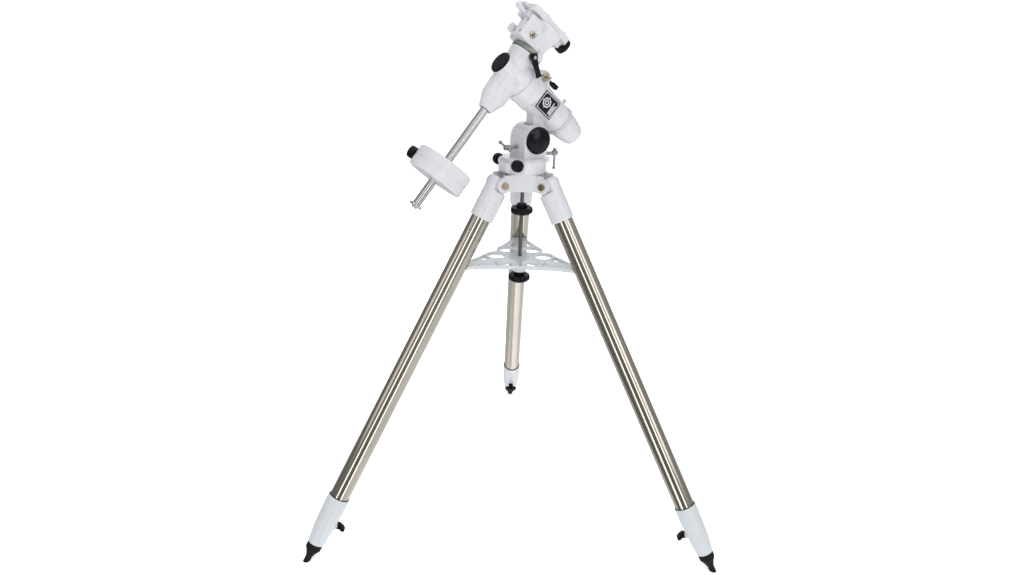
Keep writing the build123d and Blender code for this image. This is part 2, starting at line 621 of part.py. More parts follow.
def main():
    parts = {}
    for side, azimuth in LEG_AZIMUTHS.items():
        leg = leg_frame(azimuth)
        parts[f"upper_casting_{side}"] = leg * upper_casting()
        parts[f"leg_tube_{side}"] = leg * leg_tube()
        parts[f"lower_casting_{side}"] = leg * lower_casting()
        parts[f"leg_lock_{side}"] = leg * lock_knob()
        parts[f"inner_leg_{side}"] = Compound(children=[leg * inner_tube(), leg * inner_guide()])
        parts[f"foot_{side}"] = leg * rubber_foot()

    parts["tripod_head"] = tripod_head()
    parts["azimuth_peg"] = azimuth_peg()
    parts["leg_hinge_bolts"] = hinge_bolts()
    parts["center_rod"] = center_rod()
    parts["mount_lock_knob"] = star_knob(UPPER_KNOB_Z, ROD_R)
    parts["accessory_tray"] = accessory_tray()
    parts["tray_knob"] = star_knob(TRAY_KNOB_Z, ROD_R + FIT)

    parts["azimuth_base"] = azimuth_base()
    parts["azimuth_knob_west"] = azimuth_knob(-1)
    parts["azimuth_knob_east"] = azimuth_knob(1)
    parts["altitude_screw_south"] = Pos(0, 0, SOUTH_SCREW_Z) * altitude_screw(ALT_Y - TONGUE - TIP_GAP, -82)
    parts["altitude_screw_north"] = Pos(0, 0, NORTH_SCREW_Z) * altitude_screw(ALT_Y + TONGUE + TIP_GAP, 45)
    parts["altitude_pivot"] = altitude_pivot()
    parts["altitude_cap"] = altitude_cap()
    parts["altitude_bar_south"] = Pos(0, -82, 0) * t_bar(870, 918)
    north_eye = Pos(0, 45, NORTH_SCREW_Z) * Rot(0, BAR_TILT, 0)
    parts["altitude_bar_north"] = north_eye * along_x(t_bar(-17, 32))
    parts["altitude_screw_south"] -= Pos(0, -82, 0) * rod(2.4 + FIT, 860, 930)
    parts["altitude_screw_north"] -= north_eye * along_x(rod(2.4 + FIT, -20, 20))

    polar = {
        "ra_housing": ra_housing(),
        "ra_shaft": ra_shaft(),
        "ra_bearings": ra_bearings(),
        "ra_worm_wheel": ra_worm_wheel(),
        "ra_worm": ra_worm(),
        "ra_setting_circle": ra_setting_circle(),
        "ra_end_cap": ra_end_cap(),
        "ra_clutch_lever": ra_clutch_lever(),
        "circle_lock_screw": circle_lock_screw(),
        "name_plate": name_plate(),
        "dec_housing": dec_housing(),
        "polar_cap": polar_cap(),
        "dec_bearings": dec_bearings(),
        "dec_shaft": dec_shaft(),
        "dec_setting_circle": dec_setting_circle(),
        "dec_worm_wheel": dec_worm_wheel(),
        "dec_worm": dec_worm(),
        "dec_head": dec_head(),
        "dec_clutch_lever": dec_clutch_lever(),
        "saddle": saddle(),
        "saddle_jaw": saddle_jaw(),
        "saddle_knob": saddle_knob(),
        "counterweight_shaft": counterweight_shaft(),
        "shaft_end_screw": end_screw(),
        "counterweight": Rot(0, WEIGHT_TURN, 0) * counterweight(),
        "counterweight_knob": Rot(0, WEIGHT_TURN, 0) * counterweight_knob(),
    }
    for name, shape in polar.items():
        parts[name] = POLAR * shape
    return parts


os.makedirs("parts", exist_ok=True)
for node, solid in main().items():
    export_step(solid, f"parts/{node}.step")
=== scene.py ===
import json
import math

import bmesh
import bpy
from mathutils import Matrix, Vector


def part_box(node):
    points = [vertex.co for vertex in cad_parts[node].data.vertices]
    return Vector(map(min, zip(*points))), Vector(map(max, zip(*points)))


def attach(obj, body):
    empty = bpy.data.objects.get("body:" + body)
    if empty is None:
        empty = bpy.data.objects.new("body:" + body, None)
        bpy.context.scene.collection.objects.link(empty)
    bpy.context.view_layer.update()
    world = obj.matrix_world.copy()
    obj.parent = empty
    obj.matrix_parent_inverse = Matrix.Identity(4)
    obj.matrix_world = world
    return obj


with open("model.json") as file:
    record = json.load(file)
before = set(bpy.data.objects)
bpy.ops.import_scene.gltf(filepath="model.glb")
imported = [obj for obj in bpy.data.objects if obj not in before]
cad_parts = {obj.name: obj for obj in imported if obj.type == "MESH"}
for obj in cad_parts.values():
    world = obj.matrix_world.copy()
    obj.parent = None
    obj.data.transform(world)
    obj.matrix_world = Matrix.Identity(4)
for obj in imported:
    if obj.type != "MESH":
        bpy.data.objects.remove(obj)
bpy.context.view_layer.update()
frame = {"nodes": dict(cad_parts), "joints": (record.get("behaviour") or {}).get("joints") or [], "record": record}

MM = 0.001                             # sizes below are in millimetres and become metres with this
JOINTS = {joint["name"]: joint for joint in frame["joints"]}
LEGS = ("north", "southwest", "southeast")


# ---------------------------------------------------------------- places worked out from the frame
def axes(origin, x, z):
    """A placement matrix from an origin and two unit directions."""
    y = z.cross(x)
    rows = [(x[i], y[i], z[i], origin[i]) for i in range(3)]
    return Matrix(rows + [(0, 0, 0, 1)])


def joint_axis(name):
    return Vector(JOINTS[name]["axis"]).normalized()


def joint_place(name):
    return Vector(JOINTS[name]["pos_m"])


RA = joint_axis("ra_axis")
DEC = joint_axis("dec_axis")
WEST = DEC.cross(RA)
CROSS = joint_place("ra_axis")
POLAR = axes(CROSS, WEST, RA)          # x west, y along DEC to the saddle, z along RA to the pole


def leg_place(side):
    """A leg's own frame: origin on the hinge, -z down the leg, +y to its outer side."""
    up = -joint_axis(f"leg_extend_{side}")
    return axes(joint_place(f"leg_fold_{side}"), -joint_axis(f"leg_fold_{side}"), up)


def shift(x, y, z):
    return Matrix.Translation((x * MM, y * MM, z * MM))


def turn(degrees, axis):
    return Matrix.Rotation(math.radians(degrees), 4, axis)


# ---------------------------------------------------------------- materials
# A noise scale is the number of features in a metre.
NOISE_LOW = 0.3                        # the part of a noise's range that its changes are spread over
NOISE_HIGH = 0.7
MIX_A, MIX_B, MIX_RESULT = 6, 7, 2     # colour sockets of a Mix node


class Shader:
    """A Principled material with helpers for its procedural detail, in the object's own coordinates."""

    def __init__(self, name, color, metallic=0.0, roughness=0.4):
        self.material = bpy.data.materials.new(name)
        self.material.use_nodes = True
        self.nodes = self.material.node_tree.nodes
        self.links = self.material.node_tree.links
        self.shader = self.nodes["Principled BSDF"]
        self.color = color
        self.roughness = roughness
        self.shader.inputs["Base Color"].default_value = (*color, 1)
        self.shader.inputs["Metallic"].default_value = metallic
        self.shader.inputs["Roughness"].default_value = roughness
        self.where = self.nodes.new("ShaderNodeTexCoord").outputs["Object"]

    def noise(self, scale, detail=2.0, vector=None):
        texture = self.nodes.new("ShaderNodeTexNoise")
        texture.inputs["Scale"].default_value = scale
        texture.inputs["Detail"].default_value = detail
        self.links.new(vector or self.where, texture.inputs["Vector"])
        return texture.outputs["Fac"]

    def spread(self, value, low, high):
        """Maps a noise value to a range."""
        node = self.nodes.new("ShaderNodeMapRange")
        node.inputs["From Min"].default_value = NOISE_LOW
        node.inputs["From Max"].default_value = NOISE_HIGH
        node.inputs["To Min"].default_value = low
        node.inputs["To Max"].default_value = high
        self.links.new(value, node.inputs["Value"])
        return node.outputs["Result"]

    def vary_color(self, value, other):
        """Mixes the base colour towards another one by a noise value."""
        mix = self.nodes.new("ShaderNodeMix")
        mix.data_type = "RGBA"
        mix.inputs[MIX_A].default_value = (*self.color, 1)
        mix.inputs[MIX_B].default_value = (*other, 1)
        self.links.new(self.spread(value, 0, 1), mix.inputs[0])
        self.links.new(mix.outputs[MIX_RESULT], self.shader.inputs["Base Color"])

    def vary_roughness(self, value, amount):
        rough = self.spread(value, self.roughness - amount, self.roughness + amount)
        self.links.new(rough, self.shader.inputs["Roughness"])

    def bump(self, value, depth_mm):
        node = self.nodes.new("ShaderNodeBump")
        node.inputs["Distance"].default_value = depth_mm * MM
        node.inputs["Strength"].default_value = 1.0
        self.links.new(value, node.inputs["Height"])
        self.links.new(node.outputs["Normal"], self.shader.inputs["Normal"])

    def stretched(self, along, scale_along, scale_across):
        """Coordinates that run slowly along one direction and fast across it, for drawn or turned marks."""
        first = along.orthogonal().normalized()
        parts = self.nodes.new("ShaderNodeCombineXYZ")
        rows = ((first, scale_across), (along.cross(first), scale_across), (along, scale_along))
        for index, (direction, scale) in enumerate(rows):
            dot = self.nodes.new("ShaderNodeVectorMath")
            dot.operation = "DOT_PRODUCT"
            dot.inputs[1].default_value = direction * scale
            self.links.new(self.where, dot.inputs[0])
            self.links.new(dot.outputs["Value"], parts.inputs[index])
        return parts.outputs["Vector"]


def shade(color, factor):
    return [channel * factor for channel in color]


def enamel(name, color, roughness, peel_mm):
    """Gloss stoved paint on a casting: faint orange peel, a little mottle and a clear top coat."""
    mottle, sheen, peel = 14, 60, 950
    paint = Shader(name, color, 0.0, roughness)
    paint.vary_color(paint.noise(mottle, 2), shade(color, 0.99))
    paint.vary_roughness(paint.noise(sheen, 2), 0.015)
    paint.bump(paint.noise(peel, 1), peel_mm)
    paint.shader.inputs["Coat Weight"].default_value = 0.35
    paint.shader.inputs["Coat Roughness"].default_value = 0.12
    return paint.material


def drawn_metal(name, color, roughness, along, streak=0.012, darker=0.92, depth_mm=0.0002):
    """Drawn or polished metal with fine marks along a direction."""
    stain, marks_along, marks_across = 9, 3, 900
    steel = Shader(name, color, 1.0, roughness)
    marks = steel.noise(1.0, 3, steel.stretched(along, marks_along, marks_across))
    steel.vary_color(steel.noise(stain, 2), shade(color, darker))
    steel.vary_roughness(marks, streak)
    steel.bump(marks, depth_mm)
    return steel.material


def turned_metal(name, color, roughness, along):
    """Lathe marks: rings that run round an axis."""
    stain, rings_along, rings_across = 120, 2600, 12
    steel = Shader(name, color, 1.0, roughness)
    rings = steel.noise(1.0, 2, steel.stretched(along, rings_along, rings_across))
    steel.vary_color(steel.noise(stain, 2), shade(color, 0.8))
    steel.vary_roughness(rings, 0.07)
    steel.bump(rings, 0.006)
    return steel.material


def plastic(name, color, roughness, grain, grain_mm, shine=0.3):
    """Moulded plastic or rubber with a fine spark grain and small changes of sheen."""
    cloud, sheen = 70, 45
    skin = Shader(name, color, 0.0, roughness)
    skin.vary_color(skin.noise(cloud, 3), [channel * 1.5 + 0.001 for channel in color])
    skin.vary_roughness(skin.noise(sheen, 3), 0.08)
    skin.bump(skin.noise(grain, 2), grain_mm)
    skin.shader.inputs["Specular IOR Level"].default_value = shine
    return skin.material


UP = Vector((0, 0, 1))
EAST = Vector((1, 0, 0))
NORTH = Vector((0, 1, 0))
STAINLESS = (0.50, 0.465, 0.40)
ZINC_PLATE = (0.60, 0.60, 0.59)

WHITE = enamel("white_enamel", (0.62, 0.62, 0.65), 0.28, 0.003)
CAST_WHITE = enamel("white_cast_enamel", (0.63, 0.63, 0.655), 0.34, 0.006)
MOULDED_WHITE = enamel("white_leg_enamel", (0.58, 0.61, 0.635), 0.36, 0.004)
LEG_STEEL = {}
for side in LEGS:
    LEG_STEEL[side] = drawn_metal(f"leg_steel_{side}", STAINLESS, 0.15, joint_axis(f"leg_extend_{side}"))
CHROME = drawn_metal("shaft_chrome", (0.52, 0.52, 0.53), 0.15, DEC, 0.01, 0.97, 0.00005)
BLACK = plastic("black_plastic", (0.003, 0.003, 0.004), 0.34, 1500, 0.01, 0.16)
GLOSS_BLACK = plastic("black_gloss_plastic", (0.003, 0.003, 0.005), 0.12, 500, 0.001, 0.22)
PLATE_BLACK = plastic("plate_black", (0.006, 0.006, 0.007), 0.34, 900, 0.006, 0.2)
RUBBER = plastic("foot_rubber", (0.008, 0.008, 0.009), 0.70, 700, 0.06, 0.15)
BRASS = turned_metal("brass_x", (0.56, 0.48, 0.32), 0.26, EAST)
BRASS_RA = turned_metal("brass_ra", (0.56, 0.47, 0.31), 0.28, RA)
ZINC = turned_metal("zinc_steel", ZINC_PLATE, 0.28, RA)
ZINC_X = turned_metal("zinc_steel_x", ZINC_PLATE, 0.28, EAST)
THREAD_STEEL = turned_metal("threaded_steel", (0.17, 0.165, 0.16), 0.36, UP)
GUNMETAL = turned_metal("gunmetal", (0.40, 0.39, 0.41), 0.30, NORTH)
CIRCLE_RA = enamel("circle_white", (0.60, 0.61, 0.62), 0.4, 0.004)
CIRCLE_DEC = turned_metal("circle_aluminium_dec", (0.44, 0.47, 0.41), 0.36, DEC)
MARK = plastic("engraved_mark", (0.02, 0.02, 0.022), 0.55, 900, 0.002)
PRINT = enamel("plate_print", (0.72, 0.73, 0.75), 0.4, 0.002)

NODE_MATERIALS = {
    "tripod_head": CAST_WHITE,
    "counterweight": CAST_WHITE,
    "accessory_tray": MOULDED_WHITE,
    "azimuth_base": WHITE,
    "ra_housing": WHITE,
    "ra_end_cap": WHITE,
    "dec_housing": WHITE,
    "dec_head": WHITE,
    "saddle": WHITE,
    "saddle_jaw": WHITE,
    "mount_lock_knob": BLACK,
    "tray_knob": BLACK,
    "azimuth_knob_west": BLACK,
    "azimuth_knob_east": BLACK,
    "ra_clutch_lever": BLACK,
    "dec_clutch_lever": BLACK,
    "saddle_knob": BLACK,
    "counterweight_knob": BLACK,
    "polar_cap": BLACK,
    "altitude_cap": GLOSS_BLACK,
    "name_plate": PLATE_BLACK,
    "azimuth_peg": THREAD_STEEL,
    "center_rod": THREAD_STEEL,
    "altitude_pivot": ZINC_X,
    "ra_bearings": ZINC,
    "dec_bearings": ZINC,
    "ra_shaft": ZINC,
    "dec_shaft": ZINC,
    "ra_worm": ZINC_X,
    "dec_worm": ZINC_X,
    "circle_lock_screw": ZINC,
    "ra_worm_wheel": BRASS_RA,
    "dec_worm_wheel": BRASS_RA,
    "leg_hinge_bolts": BRASS,
    "altitude_screw_south": GUNMETAL,
    "altitude_screw_north": GUNMETAL,
    "altitude_bar_south": GUNMETAL,
    "altitude_bar_north": GUNMETAL,
    "ra_setting_circle": CIRCLE_RA,
    "dec_setting_circle": CIRCLE_DEC,
    "counterweight_shaft": CHROME,
    "shaft_end_screw": CHROME,
}
for side in LEGS:
    NODE_MATERIALS[f"upper_casting_{side}"] = WHITE
    NODE_MATERIALS[f"lower_casting_{side}"] = MOULDED_WHITE
    NODE_MATERIALS[f"leg_tube_{side}"] = LEG_STEEL[side]
    NODE_MATERIALS[f"inner_leg_{side}"] = LEG_STEEL[side]
    NODE_MATERIALS[f"leg_lock_{side}"] = BLACK
    NODE_MATERIALS[f"foot_{side}"] = RUBBER

for node, part in frame["nodes"].items():
    part.data.materials.clear()
    part.data.materials.append(NODE_MATERIALS[node])


# ---------------------------------------------------------------- mesh helpers
def piece(name, mesh_data, material, body, edge_mm=0.0, smooth=35):
    """Makes an object of a bmesh, gives it a finish, and lets it ride on a body."""
    mesh = bpy.data.meshes.new(name)
    bmesh.ops.recalc_face_normals(mesh_data, faces=mesh_data.faces)
    mesh_data.to_mesh(mesh)
    mesh_data.free()
    mesh.materials.append(material)
    mesh.shade_smooth()
    mesh.set_sharp_from_angle(angle=math.radians(smooth))
    made = bpy.data.objects.new(name, mesh)
    bpy.context.scene.collection.objects.link(made)
    if edge_mm:
        bevel = made.modifiers.new("edge", "BEVEL")
        bevel.width = edge_mm * MM
        bevel.segments = 2
        bevel.limit_method = "ANGLE"
        bevel.angle_limit = math.radians(smooth)
        bevel.harden_normals = True
    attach(made, body)


def add_turned(bm, outline, place, steps=64):
    """Adds a turned solid about z from (radius, height) points. One that is off the axis closes on itself."""
    rings = []
    for radius, height in outline:
        if radius == 0:
            rings.append([bm.verts.new(place @ Vector((0, 0, height * MM)))] * steps)
            continue
        ring = []
        for step in range(steps):
            angle = 2 * math.pi * step / steps
            spot = Vector((radius * math.cos(angle), radius * math.sin(angle), height)) * MM
            ring.append(bm.verts.new(place @ spot))
        rings.append(ring)
    pairs = list(zip(rings, rings[1:]))
    if outline[0][0] > 0:
        pairs.append((rings[-1], rings[0]))
    for lower, upper in pairs:
        for step in range(steps):
            after = (step + 1) % steps
            corners = []
            for vertex in (lower[step], lower[after], upper[after], upper[step]):
                if vertex not in corners:
                    corners.append(vertex)
            if len(corners) > 2:
                bm.faces.new(corners)


def add_prism(bm, outline, low, high, place):
    """Adds a straight prism along z over an outline of (x, y) points."""
    layers = []
    for height in (low, high):
        layers.append([bm.verts.new(place @ (Vector((x, y, height)) * MM)) for x, y in outline])
    bottom, top = layers
    bm.faces.new(list(reversed(bottom)))
    bm.faces.new(top)
    for index in range(len(outline)):
        after = (index + 1) % len(outline)
        bm.faces.new((bottom[index], bottom[after], top[after], top[index]))


def add_bar(bm, x, y, z, place):
    """Adds a box from three (low, high) pairs."""
    outline = [(x[0], y[0]), (x[1], y[0]), (x[1], y[1]), (x[0], y[1])]
    add_prism(bm, outline, z[0], z[1], place)


def add_washer(bm, inner, outer, low, high, place, steps):
    """Adds a flat ring about z."""
    add_turned(bm, [(inner, low), (outer, low), (outer, high), (inner, high)], place, steps)


def circle_points(radius, count):
    turns = [2 * math.pi * index / count for index in range(count)]
    return [(radius * math.cos(angle), radius * math.sin(angle)) for angle in turns]


RIDGE_SUNK = 0.12                      # the feet of a thread's ridge lie this far inside the screw
RIDGE_HALF = 0.46                      # half its width, as a part of the pitch


def add_thread(bm, radius, depth, pitch, low, high, place, steps=20):
    """Adds a helical ridge on a screw about z. It fades out over its first and last turn."""
    count = int((high - low) / pitch * steps)
    half = pitch * RIDGE_HALF
    sections = []
    for index in range(count + 1):
        angle = 2 * math.pi * index / steps
        height = low + pitch * index / steps
        grow = min(1.0, index / steps, (count - index) / steps)
        profile = ((radius - RIDGE_SUNK, -half), (radius + depth * grow, 0), (radius - RIDGE_SUNK, half))
        corners = []
        for reach, rise in profile:
            spot = Vector((reach * math.cos(angle), reach * math.sin(angle), height + rise)) * MM
            corners.append(bm.verts.new(place @ spot))
        sections.append(corners)
    for first, second in zip(sections, sections[1:]):
        for corner in range(3):
            after = (corner + 1) % 3
            bm.faces.new((first[corner], first[after], second[after], second[corner]))
    bm.faces.new(list(reversed(sections[0])))
    bm.faces.new(sections[-1])


def turned_piece(name, outline, place, material, body, edge_mm=0.0, steps=64):
    bm = bmesh.new()
    add_turned(bm, outline, place, steps)
    piece(name, bm, material, body, edge_mm)


def socket_screw(bm, radius, height, place):
    """Adds a cap screw along z with a six-sided socket, standing on z = 0."""
    bore = radius * 0.52
    outline = [(radius, 0), (radius, height - 0.3), (radius - 0.3, height), (radius * 0.62, height),
               (bore, height - 0.2), (bore, height * 0.35), (radius * 0.5, 0)]
    add_turned(bm, outline, place, 24)
    add_prism(bm, circle_points(bore, 6), 0, height * 0.4, place)


# ---------------------------------------------------------------- threads on the bare screws
THREAD_SMOOTH = 80                     # degrees under which a thread's edges are shaded smooth
SCREW_R = 4
SCREW_DEPTH = 0.3
SCREW_PITCH = 1.25
SCREW_STEPS = 28
ROD_DEPTH = 0.32
ROD_PITCH = 1.5
ROD_BARE = (3, 30)                     # ends of the draw rod that carry no thread

rod_low, rod_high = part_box("center_rod")
rod_radius = (rod_high.x - rod_low.x) / 2 / MM
thread_low = rod_low.z / MM + ROD_BARE[0]
thread_high = rod_high.z / MM - ROD_BARE[1]
bm = bmesh.new()
add_thread(bm, rod_radius, ROD_DEPTH, ROD_PITCH, thread_low, thread_high, Matrix.Identity(4))
piece("center_rod_thread", bm, THREAD_STEEL, "draw_rod", smooth=THREAD_SMOOTH)

SADDLE_THREAD = (7.5, 26)              # heights over the knob's joint
bm = bmesh.new()
saddle_screw = axes(joint_place("saddle_knob_turn"), WEST, RA)
add_thread(bm, SCREW_R, SCREW_DEPTH, SCREW_PITCH, *SADDLE_THREAD, saddle_screw, SCREW_STEPS)
piece("saddle_screw_thread", bm, ZINC, "saddle_knob", smooth=THREAD_SMOOTH)

ALTITUDE_THREAD = (3, 46)              # distances from the screw's tip
for end, way in (("south", -1), ("north", 1)):
    screw_low, screw_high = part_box(f"altitude_screw_{end}")
    tip = (screw_high if way < 0 else screw_low).y / MM
    height = (screw_low.z + screw_high.z) / 2 / MM
    bm = bmesh.new()
    place = shift(0, tip, height) @ turn(-90 * way, "X")
    add_thread(bm, SCREW_R, SCREW_DEPTH, SCREW_PITCH, *ALTITUDE_THREAD, place, SCREW_STEPS)
    piece(f"altitude_thread_{end}", bm, GUNMETAL, f"altitude_screw_{end}", smooth=THREAD_SMOOTH)

# ---------------------------------------------------------------- brass worm ends
# Each row: name, body, the casting's west and east faces from the worm's middle, and the collar's radius.
WORM_ENDS = (("ra", "ra_housing", 22, 30, 9.0), ("dec", "dec_head", 34, 34, 6.8))
WORM_BORE = 3.8
SEATED = 0.2                           # trims sit this far in their castings
KNURLS = 20
KNURL_R = 0.55
for name, body, west_face, east_face, radius in WORM_ENDS:
    place = axes(joint_place(f"{name}_worm_turn"), RA, WEST)
    collar = [(WORM_BORE, west_face - SEATED), (radius, west_face - SEATED), (radius, west_face + 3.2),
              (radius - 1.2, west_face + 4.6), (radius - 2.4, west_face + 4.6),
              (radius - 2.8, west_face + 3.8), (WORM_BORE, west_face + 3.8)]
    turned_piece(f"{name}_worm_collar", collar, place, BRASS, body, 0.25)
    knurl_low = west_face + 0.3
    knurl_high = west_face + 2.9
    knurl = [(0, knurl_low), (KNURL_R, knurl_low), (KNURL_R, knurl_high), (0, knurl_high)]
    bm = bmesh.new()
    for x, y in circle_points(radius - 0.1, KNURLS):
        add_turned(bm, knurl, place @ shift(x, y, 0), 6)
    piece(f"{name}_worm_collar_knurl", bm, BRASS, body)
    plug = [(0, SEATED - east_face), (radius, SEATED - east_face), (radius, -east_face - 2.4),
            (radius - 1, -east_face - 3.2), (2.6, -east_face - 3.2), (2.2, -east_face - 1.6),
            (0, -east_face - 1.6)]
    turned_piece(f"{name}_worm_plug", plug, place, BRASS, body, 0.2)

# ---------------------------------------------------------------- name plate: a plain star-chart mark
plate_face = -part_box("name_plate")[0].x / MM
PLATE_ALONG_DEC = -3
PLATE_ALONG_RA = -98
PLATE_MIDDLE = POLAR @ shift(plate_face, PLATE_ALONG_DEC, PLATE_ALONG_RA)
PLATE = PLATE_MIDDLE @ turn(90, "Y") @ turn(90, "Z")       # x along DEC, y along RA, z west
STAR = PLATE @ shift(2, 6, 0)
PRINT_LAYER = (-0.1, 0.18)
FRAME_X = 20
FRAME_Y = 22
FRAME_WIDTH = 1.1
INNER_X = FRAME_X - FRAME_WIDTH
INNER_Y = FRAME_Y - FRAME_WIDTH
bm = bmesh.new()
add_bar(bm, (-FRAME_X, -INNER_X), (-FRAME_Y, FRAME_Y), PRINT_LAYER, PLATE)
add_bar(bm, (INNER_X, FRAME_X), (-FRAME_Y, FRAME_Y), PRINT_LAYER, PLATE)
add_bar(bm, (-INNER_X, INNER_X), (-FRAME_Y, -INNER_Y), PRINT_LAYER, PLATE)
add_bar(bm, (-INNER_X, INNER_X), (INNER_Y, FRAME_Y), PRINT_LAYER, PLATE)
add_washer(bm, 8.6, 10.6, *PRINT_LAYER, STAR, 48)
add_washer(bm, 3.2, 5.0, *PRINT_LAYER, STAR, 40)
RAY_FROM = 6.2
RAY_HALF = 0.7
for angle in range(0, 360, 45):
    reach = 13.2 if angle % 90 == 0 else 11.6
    add_bar(bm, (RAY_FROM, reach), (-RAY_HALF, RAY_HALF), PRINT_LAYER, STAR @ turn(angle, "Z"))
LINE_START = -15
LINE_LOW = -11.9
LINE_HIGH = -9.9
LINE_PITCH = 3.4
for row, line_end in enumerate((13, 6, 10)):
    drop = row * LINE_PITCH
    add_bar(bm, (LINE_START, line_end), (LINE_LOW - drop, LINE_HIGH - drop), PRINT_LAYER, PLATE)
piece("name_plate_mark", bm, PRINT, "ra_housing")

RIVET = [(0, -0.1), (1.3, -0.1), (1.3, 0.5), (0.8, 0.9), (0, 1.0)]
bm = bmesh.new()
for x in (-17, 17):
    for y in (-19, 19):
        add_turned(bm, RIVET, PLATE @ shift(x, y, 0), 20)
piece("name_plate_rivets", bm, ZINC_X, "ra_housing")


# ---------------------------------------------------------------- setting circles
TICK_HALF = 0.13
TICK_DEPTHS = (-0.15, 0.05)            # a tick's foot and face, from the ring's surface
BOX_FACES = ((0, 1, 3, 2), (4, 6, 7, 5), (0, 4, 5, 1), (2, 3, 7, 6), (0, 2, 6, 4), (1, 5, 7, 3))


def tick_length(index):
    if index % 10 == 0:
        return 3.6
    if index % 5 == 0:
        return 2.6
    return 1.7


def add_ticks(bm, radius, edge, count, place, cone=0.0):
    """Adds graduations round a ring, from its edge up. The ring narrows by cone for each millimetre."""
    for index in range(count):
        spin = place @ turn(360 * index / count, "Z")
        corners = []
        for along in (edge, edge + tick_length(index)):
            surface = radius - cone * abs(along - edge)
            for side in (-TICK_HALF, TICK_HALF):
                for depth in TICK_DEPTHS:
                    corners.append(bm.verts.new(spin @ (Vector((surface + depth, side, along)) * MM)))
        for face in BOX_FACES:
            bm.faces.new([corners[corner] for corner in face])


def add_numerals(bm, radius, base, size, labels, place):
    """Adds numbers, bent round a ring, one for each label, evenly spaced."""
    for index, label in enumerate(labels):
        curve = bpy.data.curves.new("numeral", "FONT")
        curve.body = label
        curve.size = size * MM
        curve.align_x = "CENTER"
        curve.extrude = 0.08 * MM
        text = bpy.data.objects.new("numeral", curve)
        flat = bpy.data.meshes.new_from_object(text)
        spin = place @ turn(360 * index / len(labels), "Z")
        for vertex in flat.vertices:
            angle = vertex.co.x / (radius * MM)
            reach = radius * MM + vertex.co.z
            up = base * MM + vertex.co.y
            vertex.co = spin @ Vector((reach * math.cos(angle), reach * math.sin(angle), up))
        bm.from_mesh(flat)
        bpy.data.objects.remove(text)
        bpy.data.curves.remove(curve)
        bpy.data.meshes.remove(flat)


DEC_RING = axes(CROSS, RA, DEC)
RA_CIRCLE_R = 35.6
RA_CIRCLE_EDGE = -170.3
RA_TICKS = 240
DEC_CIRCLE_R = 35.0
DEC_CIRCLE_EDGE = 52.2
DEC_TICKS = 180
DEC_CONE = 0.2
bm = bmesh.new()
add_ticks(bm, RA_CIRCLE_R, RA_CIRCLE_EDGE, RA_TICKS, POLAR)
piece("ra_circle_marks", bm, MARK, "ra_setting_circle")
bm = bmesh.new()
add_ticks(bm, DEC_CIRCLE_R, DEC_CIRCLE_EDGE, DEC_TICKS, DEC_RING, DEC_CONE)
piece("dec_circle_marks", bm, MARK, "dec_setting_circle")

RA_NUMERALS = (35.65, -166.5, 2.0)     # radius, base line and size
DEC_NUMERALS = (34.2, 56.2, 2.4)
HOURS = [str(hour) for hour in range(24)]
DEGREES = ["0", "20", "40", "60", "80", "80", "60", "40", "20"] * 2
bm = bmesh.new()
add_numerals(bm, *RA_NUMERALS, HOURS, POLAR)
piece("ra_circle_numbers", bm, MARK, "ra_setting_circle")
bm = bmesh.new()
add_numerals(bm, *DEC_NUMERALS, DEGREES, DEC_RING)
piece("dec_circle_numbers", bm, MARK, "dec_setting_circle")

# the pointer that the RA circle is read against
POINTER = [(-1.6, 2.6), (1.6, 2.6), (0, -1.5)]
POINTER_DEPTHS = (33.2, 34.6)
bm = bmesh.new()
pointer_place = POLAR @ shift(0, 0, -162.5) @ turn(-90, "X") @ turn(180, "Z")
add_prism(bm, POINTER, *POINTER_DEPTHS, pointer_place)
piece("ra_circle_pointer", bm, MARK, "ra_housing")

# ---------------------------------------------------------------- tripod: trim rings and tray beads
LEG_SEAL = [(22.2, -806.5), (23.9, -806.5), (23.9, -804.4), (23.2, -803.6), (22.2, -803.6)]
LEG_LIP = [(22.3, -86.3), (25.2, -86.3), (25.8, -85.4), (25.2, -84.9), (22.3, -84.9)]
for side in LEGS:
    leg = leg_place(side)
    turned_piece(f"leg_seal_{side}", LEG_SEAL, leg, BLACK, f"leg_{side}", 0.2, 72)
    turned_piece(f"leg_lip_{side}", LEG_LIP, leg, WHITE, f"leg_{side}", 0.2, 72)

BEAD_R = 24.4                          # radius round each of the tray's holes
BEAD_HALF_WIDTH = 2.2
BEAD_HALF_HEIGHT = 0.6
BEAD_STEPS = 12
bead_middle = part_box("accessory_tray")[1].z / MM - BEAD_HALF_HEIGHT
bead = []
for step in range(BEAD_STEPS):
    angle = 2 * math.pi * step / BEAD_STEPS
    radius = BEAD_R + BEAD_HALF_WIDTH * math.cos(angle)
    bead.append((radius, bead_middle + BEAD_HALF_HEIGHT * math.sin(angle)))
bm = bmesh.new()
for opening in frame["record"]["physics"]["openings"]:
    if "eyepiece" in opening["name"]:
        low, high = opening["box_m"]
        add_turned(bm, bead, shift((low[0] + high[0]) / 2 / MM, (low[1] + high[1]) / 2 / MM, 0), 64)
piece("tray_beads", bm, MOULDED_WHITE, "accessory_tray")

# ---------------------------------------------------------------- small screws
bm = bmesh.new()
socket_screw(bm, 3.4, 2.6, axes(joint_place("dec_clutch_turn"), RA, WEST) @ shift(0, 0, 7))
piece("dec_clutch_screw", bm, ZINC_X, "dec_clutch_lever")

SCREW_HEAD = [(0, -0.2), (5.4, -0.2), (5.4, 1.0), (4.6, 1.8), (0, 1.8)]
bm = bmesh.new()
lever_top = axes(joint_place("ra_clutch_turn"), WEST, DEC) @ shift(0, 0, 5)
add_turned(bm, SCREW_HEAD, lever_top, 32)
add_bar(bm, (-4.2, 4.2), (-0.6, 0.6), (1.7, 2.1), lever_top)
piece("ra_clutch_screw", bm, BRASS_RA, "ra_clutch_lever")

